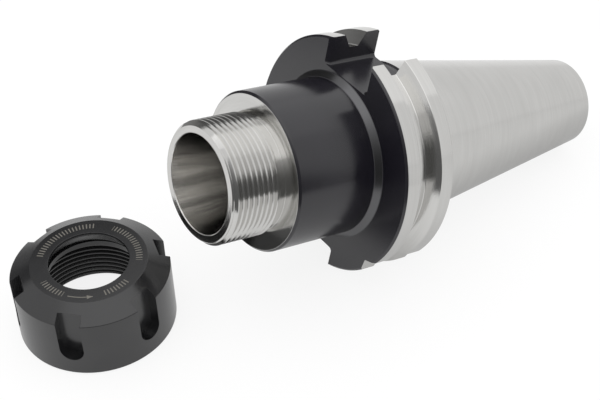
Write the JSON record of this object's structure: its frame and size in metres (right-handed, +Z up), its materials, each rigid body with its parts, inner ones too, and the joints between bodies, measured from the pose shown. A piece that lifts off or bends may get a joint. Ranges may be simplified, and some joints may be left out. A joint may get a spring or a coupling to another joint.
{
  "type": "collet chuck holder",
  "caption": "Steep taper tool holder with a V-grooved flange, a threaded collet nose, and its slotted clamping nut taken off beside it.",
  "frame": {"origin": "on the bench, under the middle of the box round the holder and its nut", "axes": "+Z up from the bench; +X along the bench under the holder's axis, from the nose towards the small end of the taper"},
  "size_m": [0.1742, 0.0684, 0.0631],
  "materials": {
    "ground_steel": "ground and fine turned, with the body, the flange's face and the drive slots black",
    "black_oxide_steel": "black oxide, satin"
  },
  "bodies": {
    "chuck_body": {"chuck_body": "ground_steel"},
    "clamping_nut": {"clamping_nut": "black_oxide_steel"}
  },
  "joints": [
    {"name": "nut_lift", "type": "slide", "parent": "chuck_body", "child": "clamping_nut", "axis": [0, 0, 1], "range_m": [0, 0.075]}
  ]
}
